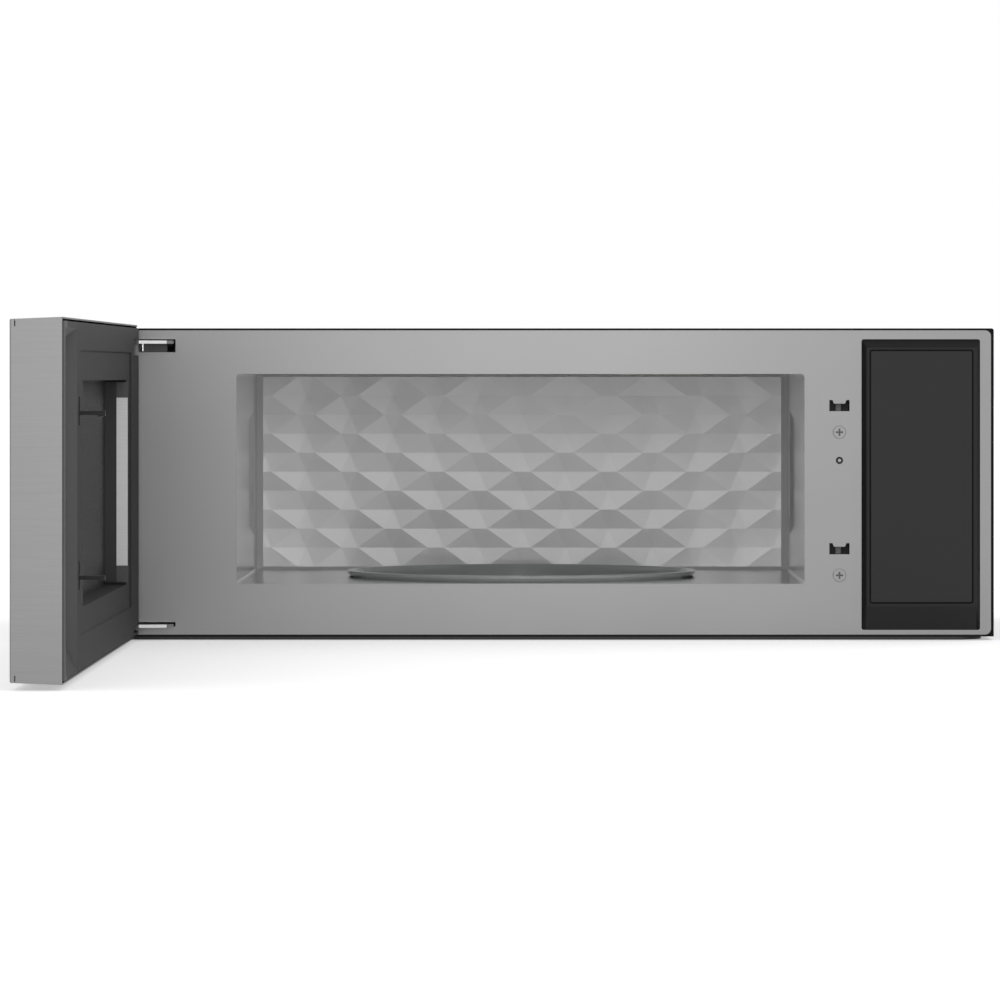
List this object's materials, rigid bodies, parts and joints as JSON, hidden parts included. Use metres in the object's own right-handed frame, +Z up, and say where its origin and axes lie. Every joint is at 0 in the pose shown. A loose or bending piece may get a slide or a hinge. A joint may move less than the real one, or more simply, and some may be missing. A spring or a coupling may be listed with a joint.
{
  "type": "over-the-range microwave",
  "caption": "Low over-the-range microwave and hood with a full-width side-hinged door, lattice-backed oven cavity, glass turntable, blower and wall mounting.",
  "frame": {"origin": "wall face of the rear panel, middle of the casing's bottom edge", "axes": "+X right as seen from the front, +Y out of the back into the wall, +Z up"},
  "size_m": [0.759, 1.1905, 0.2651],
  "materials": {
    "front_enamel": "satin",
    "casing_black": "satin",
    "galvanised": "satin",
    "cavity_steel": "satin",
    "mica": "matte",
    "magnetron_metal": "satin",
    "core_iron": "matte",
    "copper_winding": "satin",
    "clear_glass": "polished",
    "dark_glass": "polished",
    "window_sheet": "polished",
    "screen_metal": "satin",
    "white_plastic": "satin",
    "dark_plastic": "satin",
    "cover_plastic": "satin",
    "hook_plastic": "satin",
    "board": "satin",
    "door_steel": "brushed",
    "bright_metal": "polished",
    "filter_mesh": "satin"
  },
  "bodies": {
    "cabinet": {"front_plate": "front_enamel", "outer_wrap": "casing_black", "rear_panel": "galvanised", "base_pan": "casing_black", "cavity_liner": "cavity_steel", "cavity_back_panel": "cavity_steel", "waveguide_cover": "mica", "waveguide": "galvanised", "magnetron": "magnetron_metal", "transformer_core": "core_iron", "transformer_windings": "copper_winding", "hv_capacitor": "magnetron_metal", "cavity_lamp_lens": "clear_glass", "cavity_lamp": "clear_glass", "turntable_motor": "magnetron_metal", "fan_bulkhead": "casing_black", "cooling_fan_motor": "core_iron", "exhaust_collar": "casing_black", "blower_motor": "core_iron", "blower_housing_left": "galvanised", "blower_housing_right": "galvanised", "hood_lamp_lenses": "clear_glass", "hood_lamps": "clear_glass", "grease_filter_left": "filter_mesh", "grease_filter_right": "filter_mesh", "control_housing": "dark_plastic", "control_panel_cover": "cover_plastic", "control_board": "board", "latch_bracket": "white_plastic", "interlock_switches": "dark_plastic", "front_screws": "bright_metal", "hinge_screws": "bright_metal", "sensor_bush": "dark_plastic", "cabinet_bolt_nuts": "galvanised", "cord_bushing": "dark_plastic", "casing_screws": "casing_black", "upper_hinge_bracket": "bright_metal", "lower_hinge_bracket": "bright_metal"},
    "door": {"door_skin": "door_steel", "door_inner_frame": "dark_plastic", "door_choke_cover": "dark_plastic", "door_screen": "screen_metal", "door_inner_window": "window_sheet", "door_outer_glass": "dark_glass", "door_touch_glass": "dark_glass", "door_touch_board": "board", "hinge_pins": "bright_metal"},
    "latch": {"latch_hooks": "hook_plastic"},
    "turntable": {"glass_tray": "clear_glass", "turntable_coupler": "white_plastic", "turntable_shaft": "bright_metal"},
    "roller_ring": {"roller_ring": "white_plastic"},
    "roller_1": {"roller_1": "white_plastic"},
    "roller_2": {"roller_2": "white_plastic"},
    "roller_3": {"roller_3": "white_plastic"},
    "blower": {"blower_wheels": "galvanised"},
    "cooling_fan": {"cooling_fan_blade": "white_plastic"},
    "damper": {"exhaust_flap": "casing_black"},
    "sensor": {"sensor_pin": "bright_metal"},
    "interlock": {"interlock_levers": "white_plastic"}
  },
  "joints": [
    {"name": "door_hinge", "type": "hinge", "parent": "cabinet", "child": "door", "pos_m": [-0.36, -0.451, 0.13], "axis": [0, 0, 1], "range_deg": [0, 90]},
    {"name": "latch_slide", "type": "slide", "parent": "door", "child": "latch", "axis": [0, 0, 1], "range_m": [0, 0.0014], "stiffness_N_per_m": 300, "springref_m": -0.002},
    {"name": "turntable_spin", "type": "hinge", "parent": "cabinet", "child": "turntable", "pos_m": [-0.0198, -0.2585, 0.03], "axis": [0, 0, 1], "continuous": true},
    {"name": "roller_ring_spin", "type": "hinge", "parent": "cabinet", "child": "roller_ring", "pos_m": [-0.0198, -0.2585, 0.0295], "axis": [0, 0, 1], "continuous": true},
    {"name": "roller_1_spin", "type": "hinge", "parent": "roller_ring", "child": "roller_1", "pos_m": [-0.0198, -0.3628, 0.0295], "axis": [0, -1, 0], "continuous": true},
    {"name": "roller_2_spin", "type": "hinge", "parent": "roller_ring", "child": "roller_2", "pos_m": [0.07053, -0.20635, 0.0295], "axis": [0.866, 0.5, 0], "continuous": true},
    {"name": "roller_3_spin", "type": "hinge", "parent": "roller_ring", "child": "roller_3", "pos_m": [-0.11013, -0.20635, 0.0295], "axis": [-0.866, 0.5, 0], "continuous": true},
    {"name": "blower_spin", "type": "hinge", "parent": "cabinet", "child": "blower", "pos_m": [0, -0.038, 0.15], "axis": [1, 0, 0], "continuous": true},
    {"name": "cooling_fan_spin", "type": "hinge", "parent": "cabinet", "child": "cooling_fan", "pos_m": [0.2996, -0.0835, 0.125], "axis": [0, 1, 0], "continuous": true},
    {"name": "damper_swing", "type": "hinge", "parent": "cabinet", "child": "damper", "pos_m": [0, -0.007, 0.253], "axis": [-1, 0, 0], "range_deg": [0, 75]},
    {"name": "sensor_press", "type": "slide", "parent": "cabinet", "child": "sensor", "axis": [0, 1, 0], "range_m": [0, 0.0012], "stiffness_N_per_m": 150, "springref_m": -0.001},
    {"name": "interlock_press", "type": "slide", "parent": "cabinet", "child": "interlock", "axis": [0, 1, 0], "range_m": [0, 0.0009], "stiffness_N_per_m": 150, "springref_m": -0.001}
  ],
  "couplings": [
    {"joint": "roller_ring_spin", "follows": "turntable_spin", "ratio": 0.5},
    {"joint": "roller_1_spin", "follows": "turntable_spin", "ratio": -11.096},
    {"joint": "roller_2_spin", "follows": "turntable_spin", "ratio": -11.096},
    {"joint": "roller_3_spin", "follows": "turntable_spin", "ratio": -11.096}
  ]
}
